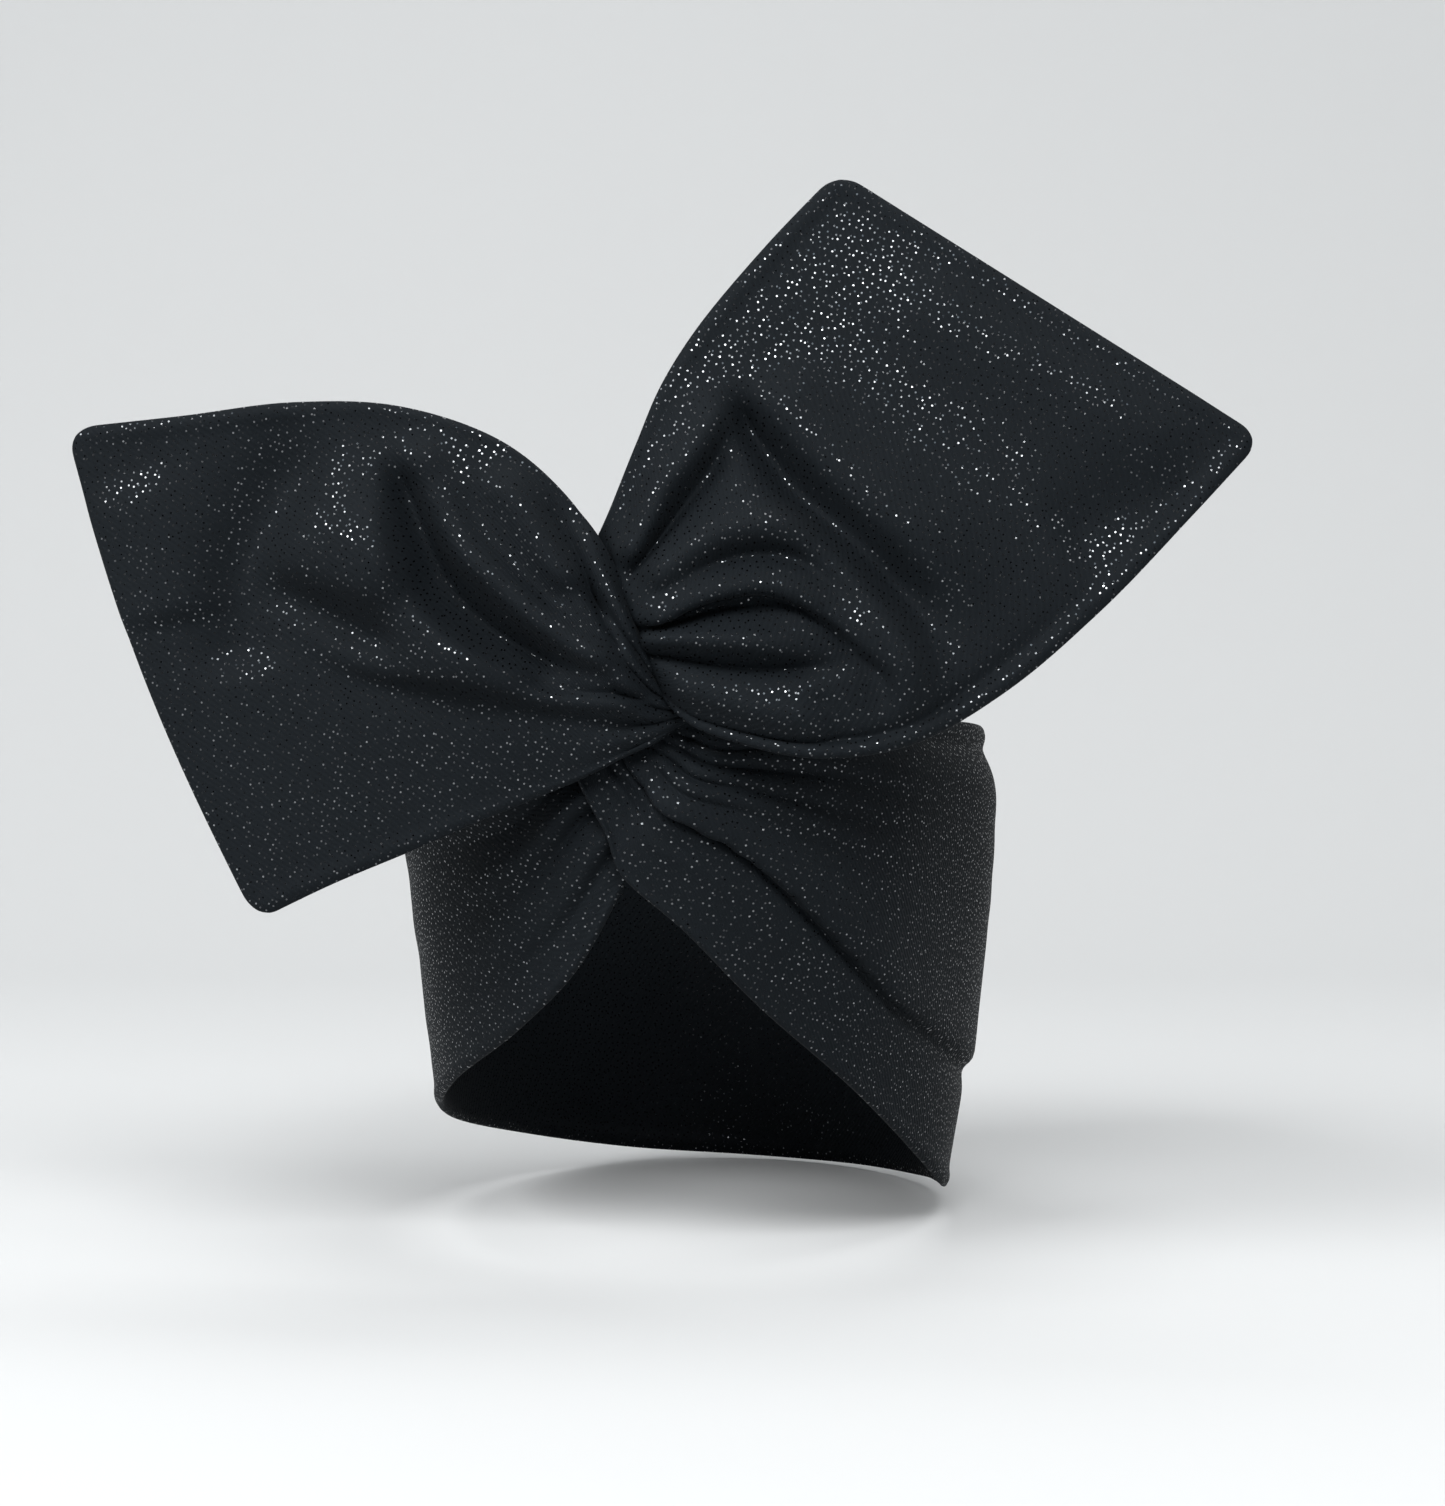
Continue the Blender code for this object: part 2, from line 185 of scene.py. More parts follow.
class Finish:
    """A material being made: node() adds any node, and the shader's sockets are set at the end."""

    def __init__(self, name):
        self.material = bpy.data.materials.new(name)
        self.material.use_nodes = True
        self.tree = self.material.node_tree
        self.shader = self.tree.nodes["Principled BSDF"]

    def node(self, kind, settings=None, output=0, **sockets):
        node = self.tree.nodes.new("ShaderNode" + kind)
        for key, value in (settings or {}).items():
            setattr(node, key, value)
        self.fill(node, sockets)
        return Value(self.tree, node.outputs[output])

    def fill(self, node, sockets):
        for key, value in sockets.items():
            place = int(key[1:]) if key[0] == "_" else key.replace("_", " ")
            slot = node.inputs[place]
            if isinstance(value, Value):
                self.tree.links.new(value.socket, slot)
            else:
                slot.default_value = value

    def mix_colour(self, share, first, second):
        return self.node("Mix", {"data_type": "RGBA"}, 2, _0=share, _6=first, _7=second)

    def mix_vector(self, share, first, second):
        return self.node("Mix", {"data_type": "VECTOR"}, 1, _0=share, _4=first, _5=second)

    def done(self, **sockets):
        self.fill(self.shader, sockets)
        return self.material


def studio_paper(tone):
    paint = Finish("pale_paper")
    place = paint.node("TexCoord", output=3)
    soft = paint.node("TexNoise", Vector=place, Scale=0.8, Detail=1.0)
    lighter = tuple(x * 1.05 for x in tone)
    colour = paint.mix_colour(soft, (*tone, 1), (*lighter, 1))
    return paint.done(Base_Color=colour, Roughness=0.9)


sweep.data.materials.append(studio_paper(PAPER_TONE))

bpy.context.scene.view_settings.view_transform = "Standard"
world = bpy.data.worlds.new("studio")
bpy.context.scene.world = world
world.use_nodes = True
world.node_tree.nodes["Background"].inputs["Color"].default_value = DAYLIGHT
world.node_tree.nodes["Background"].inputs["Strength"].default_value = DAYLIGHT_STRENGTH


# ---- The left wing ----------------------------------------------------------------------
# One end of the doubled strip: black glitter knit, with the covered wire in a casing along
# its edges.  It narrows to gathers at the crossing, where it passes over the other end and
# goes down behind it.

STRIP_WIDTH = 127 * MM
CORNER_RADIUS = 7 * MM
CLOTH = 1.7 * MM  # both layers together
CASING = 2.9 * MM  # where the wire lies between them
WIRE_INSET = 3.2 * MM
EDGE = 1.3 * MM  # at the sewn edge
EDGE_ROWS = [0.9 * MM, 1.9 * MM, 3.2 * MM, 4.5 * MM, 6.0 * MM]  # close over the casing
LEAST_ROW = 0.45 * MM
HEAD_HALF_DEPTH = 97.5 * MM
CROSSING = np.array((8.3 * MM, -HEAD_HALF_DEPTH - 12.5 * MM, 34 * MM))


def bow_point(right, up, back):
    """A place given in millimetres from the crossing, along the bow's own axes."""
    return CROSSING + (ACROSS * right + UP * up + AWAY * back) * MM


def in_bow(places):
    """Right, up and back from the crossing in millimetres, for many places."""
    off = (places - CROSSING) / MM
    return off @ ACROSS, off @ UP, off @ AWAY


def straight_rib(first, second, columns):
    """A row of places across the gathered strip, between two bow_point triples."""
    a, b = bow_point(*first), bow_point(*second)
    return a + (b - a) * columns[:, None]


def through(ribs, at):
    """Rows of cloth at the numbers in at: a centripetal curve runs down every column."""
    ribs = np.asarray(ribs, float)
    last = len(ribs) - 1
    rows = []
    for u in at:
        n = min(int(u), last - 1)
        b, c = ribs[n], ribs[n + 1]
        a = ribs[n - 1] if n else 2 * b - c
        d = ribs[n + 2] if n + 2 <= last else 2 * c - b
        knots = [np.zeros((len(b), 1))]
        for p, q in ((a, b), (b, c), (c, d)):
            step = np.maximum(np.linalg.norm(q - p, axis=-1, keepdims=True), 1e-6) ** 0.5
            knots.append(knots[-1] + step)
        t = knots[1] + (knots[2] - knots[1]) * (u - n)

        def mix(p, q, low, high):
            return (p * (high - t) + q * (t - low)) / (high - low)

        ab = mix(a, b, knots[0], knots[1])
        bc = mix(b, c, knots[1], knots[2])
        cd = mix(c, d, knots[2], knots[3])
        abc, bcd = mix(ab, bc, knots[0], knots[2]), mix(bc, cd, knots[1], knots[3])
        rows.append(mix(abc, bcd, knots[1], knots[2]))
    return np.array(rows)


def row_numbers(ribs, spacing, near=()):
    """Where rows go, in ribs: at the distances in near from the first rib, then evenly."""
    ribs = np.asarray(ribs, float)
    spans = np.linalg.norm(np.diff(ribs, axis=0), axis=-1).mean(axis=1)
    at = [d / spans[0] for d in near]
    for n, span in enumerate(spans):
        count = max(2, round(span / spacing))
        at += [n + k / count for k in range(count)]
    at = sorted(set([0.0, float(len(ribs) - 1), *at]))
    kept = [at[0]]
    for u in at[1:]:
        span = spans[min(int(kept[-1]), len(spans) - 1)]
        if (u - kept[-1]) * span > LEAST_ROW:
            kept.append(u)
    return kept


def strip_columns(spacing):
    """Shares of the strip's width where columns go: close along the two casings."""
    near = [0, *EDGE_ROWS]
    count = round((STRIP_WIDTH - 2 * near[-1]) / spacing)
    middle = np.linspace(near[-1], STRIP_WIDTH - near[-1], count + 1)[1:-1]
    return np.array([*near, *middle, *[STRIP_WIDTH - x for x in near[::-1]]]) / STRIP_WIDTH


def step(x, low, high):
    """0 below low, 1 above high and smooth between."""
    t = np.clip((x - low) / (high - low), 0, 1)
    return t * t * (3 - 2 * t)


def smooth_line(points, count=48):
    ribs = np.array(points, float)[:, None, :]
    return through(ribs, np.linspace(0, len(points) - 1, count))[:, 0, :]


def beside(x, y, points):
    """How far each place is from a smooth line, which side, and how far along it that is."""
    line = smooth_line(points)
    best = np.full(x.shape, 1e9)
    side, along = np.zeros(x.shape), np.zeros(x.shape)
    lengths = np.linalg.norm(np.diff(line, axis=0), axis=1)
    run = np.concatenate(([0], np.cumsum(lengths))) / lengths.sum()
    for n, (a, b) in enumerate(zip(line, line[1:])):
        d = b - a
        t = np.clip(((x - a[0]) * d[0] + (y - a[1]) * d[1]) / (d @ d), 0, 1)
        dx, dy = x - a[0] - d[0] * t, y - a[1] - d[1] * t
        away = np.hypot(dx, dy)
        nearer = away < best
        best = np.where(nearer, away, best)
        side = np.where(nearer, np.sign(d[0] * dy - d[1] * dx), side)
        along = np.where(nearer, run[n] + (run[n + 1] - run[n]) * t, along)
    return best, side, along


def fold(x, y, points, height, left, right, start=0.25, end=0.15):
    """A ridge, or with a negative height a valley, along a line.

    left and right are its widths to either side, each at the line's start and end;
    start and end are the shares of the line over which it rises and dies away.
    """
    away, side, along = beside(x, y, points)
    width_left = left[0] + (left[1] - left[0]) * along
    width_right = right[0] + (right[1] - right[0]) * along
    width = np.where(side > 0, width_left, width_right)
    tall = height * step(along, -0.001, start) * step(1 - along, -0.001, end)
    return tall * np.exp(-((away / width) ** 2))


def lap(x, y, points, height, behind, edge, start=0.15, end=0.2):
    """Cloth that laps over its neighbour along a line: it stands proud on the line's left,
    sinks away from it over the width behind, and drops sharply at the line."""
    away, side, along = beside(x, y, points)
    tall = height * step(along, -0.001, start) * step(1 - along, -0.001, end)
    across = away * side
    fall = np.exp(-((np.maximum(across, 0) / behind) ** 2))
    under = np.exp(-((np.maximum(-across - edge, 0) / (2.2 * edge)) ** 2))
    drop = step(across, -edge, edge)
    return tall * (fall * drop - 0.45 * under * (1 - drop))


def doubled_cloth(name, places, from_tip, share, lengths, laid_flat):
    """The doubled strip as one closed piece, from a grid whose points are moved into place.

    places are the middle of the cloth; from_tip and lengths are each row's distance from a
    wing's tip and along the strip; share is each column's place across it; laid_flat gives
    where a place lies on the printed cloth.
    """
    rows, columns = places.shape[:2]
    bpy.ops.object.select_all(action="DESELECT")
    bpy.ops.mesh.primitive_grid_add(x_subdivisions=columns - 1, y_subdivisions=rows - 1, size=1)
    piece = bpy.context.object
    piece.name = name
    mesh = piece.data
    flat = np.zeros(len(mesh.vertices) * 3)
    mesh.vertices.foreach_get("co", flat)
    flat = flat.reshape(-1, 3)
    column = np.rint((flat[:, 0] + 0.5) * (columns - 1)).astype(int)
    row = np.rint((flat[:, 1] + 0.5) * (rows - 1)).astype(int)
    mesh.vertices.foreach_set("co", places[row, column].ravel())
    corner = np.zeros(len(mesh.loops), int)
    mesh.loops.foreach_get("vertex_index", corner)
    across, along = share[column[corner]] * STRIP_WIDTH, lengths[row[corner]]
    mesh.uv_layers.active.data.foreach_set("uv", np.stack((across, along), 1).ravel())
    inset = np.minimum(np.minimum(share, 1 - share)[None, :] * STRIP_WIDTH, from_tip[:, None])
    rise = step(inset, 0, WIRE_INSET - 1.0 * MM)
    fall = step(inset, WIRE_INSET + 0.4 * MM, WIRE_INSET + 2.2 * MM)
    thick = EDGE + (CASING - EDGE) * rise + (CLOTH - CASING) * fall
    group = piece.vertex_groups.new(name="thickness")
    weight = (thick / CASING)[row, column]
    for index, value in enumerate(weight):
        group.add([index], float(value), "REPLACE")
    wall = piece.modifiers.new("two_layers", "SOLIDIFY")
    wall.thickness = CASING
    wall.offset = 0
    wall.vertex_group = group.name
    soft = piece.modifiers.new("soft_edges", "SUBSURF")
    soft.levels = soft.render_levels = 1
    for modifier in (wall.name, soft.name):
        bpy.ops.object.modifier_apply(modifier=modifier)
    bpy.ops.object.shade_smooth()
    piece.vertex_groups.clear()
    resting = mesh.attributes.new("resting_place", "FLOAT_VECTOR", "POINT")
    final = np.zeros(len(mesh.vertices) * 3, np.float32)
    mesh.vertices.foreach_get("co", final)
    resting.data.foreach_set("vector", final)
    right, up = laid_flat(final.reshape(-1, 3).astype(float))
    laid = np.stack((right, up, np.zeros(len(right))), 1).astype(np.float32)
    print_place = mesh.attributes.new("print_place", "FLOAT_VECTOR", "POINT")
    print_place.data.foreach_set("vector", laid.ravel())
    return piece


def seen_from_front(places):
    """Across and up the bow, in metres."""
    right, up, _ = in_bow(places)
    return right * MM, up * MM


def round_corners(places, from_tip, share):
    """Draws the two square corners of a wing's tip in to arcs."""
    near = [n for n in range(len(from_tip)) if from_tip[n] < CORNER_RADIUS]
    last = len(near)
    shaped = places.copy()
    for edge in (0, 1):
        inset = (share if edge == 0 else 1 - share) * STRIP_WIDTH
        order = np.argsort(inset)
        inner = next(n for n in order if inset[n] >= CORNER_RADIUS)
        first = order[0]
        corner, down = places[0, first], places[last, first]
        over, both = places[0, inner], places[last, inner]
        for n in range(last):
            for m in order:
                if inset[m] >= CORNER_RADIUS:
                    break
                p, q = 1 - from_tip[n] / CORNER_RADIUS, 1 - inset[m] / CORNER_RADIUS
                p, q = p * math.sqrt(1 - q * q / 2), q * math.sqrt(1 - p * p / 2)
                a = CORNER_RADIUS * (1 - p) / from_tip[last]
                b = CORNER_RADIUS * (1 - q) / inset[inner]
                outer = corner * (1 - a) * (1 - b) + down * a * (1 - b)
                shaped[n, m] = outer + over * (1 - a) * b + both * a * b
    return shaped


LEFT_WING_RIBS = [  # upper edge, lower edge
    ((-144.5, 59.5, 15), (-97.4, -61.6, 9)),
    ((-114.6, 62.1, 8), (-78, -52.2, 5)),
    ((-87.1, 65.1, 4), (-59, -44.2, 3)),
    ((-60.5, 63.9, 2), (-41, -36.4, 2)),
    ((-35.5, 55.1, 1.5), (-26, -30.2, 1.5)),
    ((-19.4, 41, 1.5), (-17, -26.4, 1)),
    ((-10.5, 27, 1), (-11.5, -23.6, 0.5)),
    ((-5, 15.5, 0.5), (-6.5, -21, 0)),
    ((-1.6, 6.5, 0.5), (-1, -18.5, 0)),
    ((2.5, -1, 3), (3.5, -15.5, 1.5)),
    ((7, -4, 6.5), (8, -13, 5.5)),
    ((13, -6, 9), (13, -15, 8.5)),
    ((15, -12, 12), (12, -21, 11.5)),
]


def wing_places(ribs, columns, spacing):
    near = [*EDGE_ROWS, 7.5 * MM]
    made = [straight_rib(a, b, columns) for a, b in ribs]
    at = row_numbers(made, spacing, near)
    places = through(made, at)
    steps = np.linalg.norm(np.diff(places, axis=0), axis=-1).mean(axis=1)
    lengths = np.concatenate(([0], np.cumsum(steps)))
    return places, np.array(at), lengths


TIP_BULGE = 4.5 * MM


def left_wing_cloth():
    columns = strip_columns(2.0 * MM)
    places, at, lengths = wing_places(LEFT_WING_RIBS, columns, 2.0 * MM)
    out = TIP_BULGE * np.sin(np.pi * columns)[None, :] * step(-lengths, -55 * MM, 0)[:, None]
    places = places - ACROSS * out[..., None]
    places = round_corners(places, lengths, columns)
    x, y, _ = in_bow(places)
    v = np.broadcast_to(columns, x.shape)
    u = np.broadcast_to(at[:, None], x.shape)
    inner = np.sin(np.pi * v)
    lift = 8 * inner * step(u, 1.0, 4.2) * step(-u, -9.5, -5.5)
    # the peak under the upper edge, with one long face to its left and a deep hollow right
    peak = [(-66.6, 57), (-67, 44), (-66.5, 31), (-61, 17.4), (-52, 8), (-41, 1.5), (-26, -3.5)]
    lift += fold(x, y, peak, 6.5, (5.5, 3), (14, 6), start=0.3, end=0.3)
    shoulder = [(-96, 32), (-88, 27), (-78, 23.5), (-69, 21), (-60, 14)]
    lift += fold(x, y, shoulder, 5.5, (19, 14), (7, 5), start=0.3, end=0.3)
    hollow = [(-61.5, 54), (-56.5, 38), (-50, 22), (-40, 11), (-27, 3), (-13, -4)]
    lift += fold(x, y, hollow, -6.5, (7, 3), (7, 3), start=0.15, end=0.2)
    beyond = [(-59, 58), (-54, 44), (-46, 29.5), (-38, 22), (-27.4, 12.3), (-15.7, 4.4), (-4, 0.5)]
    lift += fold(x, y, beyond, 5.5, (6, 2.5), (3.5, 2), start=0.12, end=0.15)
    lift += fold(x, y, [(-48, 47), (-41, 33), (-31, 22), (-20, 13)], -1.4, (5, 3), (5, 3))
    lift += fold(x, y, [(-40, 50), (-31, 38), (-24, 27), (-17, 19)], 3.5, (6, 3), (4, 3))
    lift += fold(x, y, [(-27, 44), (-20, 31), (-14.5, 19), (-10, 11)], -2.2, (2.5, 1.4), (2.5, 1.4))
    # the narrow fold along the edge that lies over the other end
    lift += fold(x, y, [(-18, 38), (-11.5, 24), (-7, 13), (-3.5, 4)], 2.6, (3.5, 2), (2.5, 1.7))
    lift += fold(x, y, [(-17, 22), (-14.5, 17.2), (-11.3, 11), (-6.8, 3.5)], -2.6, (1.8, 1.2), (1.8, 1.2))
    # the long low fold that bounds the flat lower panel
    lift += fold(x, y, [(-97, 24), (-85, 17), (-72, 10), (-60, 5)], -3.5, (7, 4), (6, 3))
    lower = [(-96, 17), (-89.8, 12), (-77, 2.4), (-65, -1.5), (-52, -3.2)]
    lower += [(-37.5, -5.5), (-25, -8.3), (-8, -9.2), (2, -9)]
    lift += lap(x, y, lower, 3.4, 9, 2.4, start=0.5, end=0.08)
    above_lower = [(-34, -2), (-22, -5), (-10, -6), (1, -6.4)]
    lift += fold(x, y, above_lower, -3.0, (3.2, 1.8), (1.4, 1.2), end=0.05)
    tip_dip = [(-78, 60), (-90, 45), (-98.5, 28), (-101, 12), (-99, -4)]
    lift += fold(x, y, tip_dip, -5, (8, 9), (10, 9))
    lift += fold(x, y, [(-128, 50), (-121, 30), (-117, 10)], 3, (10, 12), (12, 12))
    gathers = np.cos(2 * np.pi * (5.5 * v + 0.2)) * 1.3
    lift += gathers * step(u, 4.5, 7.5) * step(-u, -11.5, -9.5) * inner ** 0.3
    from_edge = np.minimum(v, 1 - v) * (STRIP_WIDTH / MM)
    places = places - AWAY * (lift * MM * step(from_edge, 0, 7))[..., None]
    return doubled_cloth("left_wing_cloth", places, lengths, columns, lengths, seen_from_front)


DOTS_PER_METRE = 600.0
DOT_SIZE = 0.14  # as a share of their spacing
DOT_SCATTER = 0.8
PRINT_TURN, RIB_TURN = math.radians(29), math.radians(52)
FOIL_TILT = 0.17
BLACK_DEEP, BLACK_WORN = (0.0025, 0.0040, 0.0056, 1), (0.0058, 0.0080, 0.0102, 1)
SILVER_DULL, SILVER_BRIGHT = (0.010, 0.012, 0.014, 1), (0.3, 0.31, 0.322, 1)


def glitter_knit():
    """Fine black knit with a faint diagonal rib, printed with foil dots at slight tilts."""
    cloth = Finish("glitter_knit")
    place = cloth.node("Attribute", {"attribute_name": "resting_place"}, 1)
    map_place = cloth.node("TexCoord", output=2)
    laid = cloth.node("Attribute", {"attribute_name": "print_place"}, 1)
    print_place = cloth.node("Mapping", Vector=laid, Rotation=(0, 0, PRINT_TURN))
    scattered = {"feature": "F1", "voronoi_dimensions": "2D"}
    spaced = {"Vector": print_place, "Scale": DOTS_PER_METRE, "Randomness": DOT_SCATTER}
    dots = cloth.node("TexVoronoi", scattered, 0, **spaced)
    tint = cloth.node("TexVoronoi", scattered, 1, **spaced)
    foil = dots < DOT_SIZE
    turned = cloth.node("Mapping", Vector=map_place, Rotation=(0, 0, RIB_TURN))
    bands = {"wave_type": "BANDS"}
    rib = cloth.node("TexWave", bands, 1, Vector=turned, Scale=240.0, Distortion=1.2, Detail=1.0)
    fuzz = cloth.node("TexNoise", Vector=place, Scale=900.0, Detail=2.0)
    broad = cloth.node("TexNoise", Vector=place, Scale=28.0, Detail=3.0)
    shade = 0.55 * broad + 0.25 * fuzz + 0.2 * rib
    black = cloth.mix_colour(shade, BLACK_DEEP, BLACK_WORN)
    silver = cloth.mix_colour(tint * tint * tint, SILVER_DULL, SILVER_BRIGHT)
    colour = cloth.mix_colour(foil, black, silver)
    knit = cloth.node("Bump", Strength=0.35, Distance=0.00025, Height=0.6 * rib + 0.4 * fuzz)
    straight = cloth.node("NewGeometry", output=1)
    off = cloth.node("VectorMath", {"operation": "SUBTRACT"}, _0=tint, _1=(0.5, 0.5, 0.5))
    tilt = cloth.node("VectorMath", {"operation": "SCALE"}, _0=off, Scale=FOIL_TILT)
    tipped = cloth.node("VectorMath", {"operation": "ADD"}, _0=straight, _1=tilt)
    flake = cloth.node("VectorMath", {"operation": "NORMALIZE"}, _0=tipped)
    normal = cloth.mix_vector(foil, knit, flake)
    cloth.shader.inputs["Sheen Weight"].default_value = 0.01
    cloth.shader.inputs["Sheen Roughness"].default_value = 0.4
    cloth.shader.inputs["Specular IOR Level"].default_value = 0.1
    return cloth.done(Base_Color=colour, Roughness=0.78 - 0.56 * foil, Metallic=foil, Normal=normal)


knit = glitter_knit()


def make_of_knit(piece):
    piece.data.materials.clear()
    piece.data.materials.append(knit)


LAYERS = ("face", "lining", "wire", "seam")
BENDS = {joint["child"]: joint for joint in frame["joints"]}


def bends_at(piece, body, way):
    """Bakes the piece's placement into its mesh; the bend line is worked out but not used, so the cloth
    doesn't yet follow the band or the wing.
    """
    joint = BENDS[body]
    pivot, axis = np.array(joint["pos_m"]), np.array(joint["axis"])
    flat = np.cross(axis, AWAY)
    flat *= way * np.sign(flat @ ACROSS) / np.linalg.norm(flat)
    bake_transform(piece)


left_wing = left_wing_cloth()
make_of_knit(left_wing)
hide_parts(*[f"left_wing_{part}" for part in LAYERS], "neck_over_face", "neck_over_lining")
bends_at(left_wing, "left_wing", -1)


# ---- The right wing ---------------------------------------------------------------------
# The strip's other end, the same cloth and wire.  Its gathers come out from under the left
# wing's neck, and its lower edge rolls forward in a full lobe over the band.

RIGHT_WING_RIBS = [  # upper-left edge, lower-right edge
    ((45.6, 123.4, 20.5), (150.9, 57.2, 18)),
    ((27.1, 103.3, 13), (132.5, 38, 11)),
    ((10.8, 83.3, 8), (110, 15, 6)),
    ((2, 69, 5), (86, -5, 2)),
    ((-3.5, 56, 4), (62, -18, -4)),
    ((-7.5, 46, 4.5), (40, -20.8, -6)),
    ((-10.5, 38.5, 5), (22, -17.3, -4.5)),
    ((-13, 33, 6), (9.5, -12.5, -1)),
    ((-15.5, 28.5, 7), (2.5, -5, 2.2)),
    ((-17.5, 24, 8.5), (-1.5, 3.5, 4.5)),
    ((-21, 20, 10), (-8, 6, 8)),
]


def drawn_over(x, y, points, reach, back, start=0.15, end=0.2):
    """How far the lip of a lap is drawn across its line: right and up, in millimetres."""
    away, side, along = beside(x, y, points)
    line = smooth_line(points)
    run = np.linspace(0, 1, len(line))
    slope = np.gradient(line, axis=0)
    slope /= np.linalg.norm(slope, axis=1, keepdims=True)
    dx, dy = np.interp(along, run, slope[:, 0]), np.interp(along, run, slope[:, 1])
    across = away * side
    strength = reach * step(along, -0.001, start) * step(1 - along, -0.001, end)
    strength = strength * step(across, -1.5, 1.0) * step(-across, -back, 0)
    return strength * dy, -strength * dx


def right_wing_cloth():
    columns = strip_columns(2.0 * MM)
    places, at, lengths = wing_places(RIGHT_WING_RIBS, columns, 2.0 * MM)
    places = round_corners(places, lengths, columns)
    x, y, _ = in_bow(places)
    v = np.broadcast_to(columns, x.shape)
    u = np.broadcast_to(at[:, None], x.shape)
    inner = np.sin(np.pi * v)
    lift = 7 * inner * step(u, 1.0, 4.0) * step(-u, -9.5, -6.5)
    # the left face and the long hollow on its right, which meet in a point
    left_face = [(20, 68), (16, 62), (11.4, 54), (3.4, 44.5), (-1.5, 34), (-7, 25)]
    lift += fold(x, y, left_face, 4.5, (3, 2.5), (7, 3), start=0.2, end=0.1)
    beside_face = [(19, 60), (13, 47), (5.5, 36.5), (-1.2, 27), (-6, 19)]
    lift += fold(x, y, beside_face, -4, (5, 2.5), (3, 2.2), end=0.1)
    hollow = [(20, 70), (23, 61), (29, 51), (37, 40), (45, 31), (54, 22.5)]
    hollow += [(63, 14), (70, 5), (73, -5)]
    lift += fold(x, y, hollow, -7.5, (5, 8), (4.5, 6), start=0.12, end=0.35)
    crest = [(22, 72), (29, 63), (36, 56), (46, 46), (56, 37.5), (65, 29.5), (73, 21), (82, 12)]
    lift += fold(x, y, crest, 4.2, (14, 12), (4, 4.5), start=0.15, end=0.35)
    # three rolls of cloth that start at the crossing and curl round into the lobe
    first = [(-6, 20), (-2.7, 22), (3.4, 25), (9, 29), (16.7, 33.4), (24, 35), (31, 34.8)]
    first += [(38.3, 32), (44, 27.5), (51, 20), (57, 11), (61, 3), (62.5, -5), (60, -13), (55, -18)]
    lift += fold(x, y, first, 6.5, (4, 5.5), (6, 4), start=0.1, end=0.2)
    between = [(-4, 15), (4, 19), (14, 25), (26, 28), (35, 26.5), (44, 19), (51, 9), (55, -1)]
    lift += fold(x, y, between, -3.0, (3, 3), (3, 3), start=0.1, end=0.3)
    second = [(-5, 11.5), (3, 14), (9, 17), (15, 19), (26, 20.5), (34, 18.5), (40, 15.5)]
    second += [(46, 10.5), (51, 5), (56, 0.5), (58, -5), (56.5, -11)]
    lift += lap(x, y, second, 6.0, 5.5, 1.3, start=0.1, end=0.35)
    over_x, over_y = drawn_over(x, y, second, 3.0, 5, start=0.08, end=0.5)
    under_second = [(-5, 8.5), (6.3, 11.4), (13.8, 14), (20.3, 15.2), (31, 14.4), (38, 12)]
    lift += fold(x, y, under_second, -3.4, (1.6, 2.4), (2, 3), start=0.03, end=0.4)
    third = [(-4.5, 7), (4, 8), (12, 7.4), (21.8, 7), (32, 6), (42, 4.5)]
    lift += fold(x, y, third, 4.2, (2.4, 3.4), (2, 2.6), start=0.06, end=0.4)
    under_third = [(-1.5, 4.6), (5.6, 3.4), (13.8, 1.9), (23, 0.6), (34, 0.6), (45, 1), (51, 0)]
    lift += fold(x, y, under_third, -4.2, (1.6, 2.8), (1.8, 3), start=0.03, end=0.35)
    lobe = [(1, -1), (8, -4), (20, -8), (35, -11), (50, -13)]
    lift += fold(x, y, lobe, 3, (3, 5), (3, 5), start=0.2, end=0.3)
    lift += fold(x, y, [(38, -5), (42, -9), (45, -14), (46, -18)], -2.2, (2.2, 2.2), (2.2, 2.2))
    lift += fold(x, y, [(140, 46), (118, 40), (98, 30)], -3, (12, 10), (12, 10))
    lift += fold(x, y, [(52, 100), (80, 84), (112, 66), (138, 52)], 2.5, (9, 9), (12, 12))
    lift *= step(np.minimum(v, 1 - v) * (STRIP_WIDTH / MM), 0, 7)
    # the bead of the covered wire along the lower edge
    inset = (1 - v) * (STRIP_WIDTH / MM)
    rim = 1.5 * np.exp(-(((inset - 2.4) / 1.9) ** 2)) - 1.5 * np.exp(-(((inset - 6.8) / 2.2) ** 2))
    lift += rim * step(u, 1.6, 3.4) * step(-u, -9.0, -8.0)
    places = places - AWAY * (lift * MM)[..., None]
    places = places + (ACROSS * over_x[..., None] + UP * over_y[..., None]) * MM
    return doubled_cloth("right_wing_cloth", places, lengths, columns, lengths, seen_from_front)


right_wing = right_wing_cloth()
make_of_knit(right_wing)
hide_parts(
    *[f"right_wing_{part}" for part in LAYERS], "neck_under_face", "neck_under_lining"
)
bends_at(right_wing, "right_wing", 1)


# ---- The band ---------------------------------------------------------------------------
# The middle of the strip, drawn round the head from the crossing to the nape and back.  Its
# right front end turns behind the left wing's neck and comes down over its left front end.

HEAD_HALF_WIDTH = 77.5 * MM
HEAD_CROWN, HEAD_DROP, HEAD_DROP_TAPER = 90 * MM, 110 * MM, 0.174


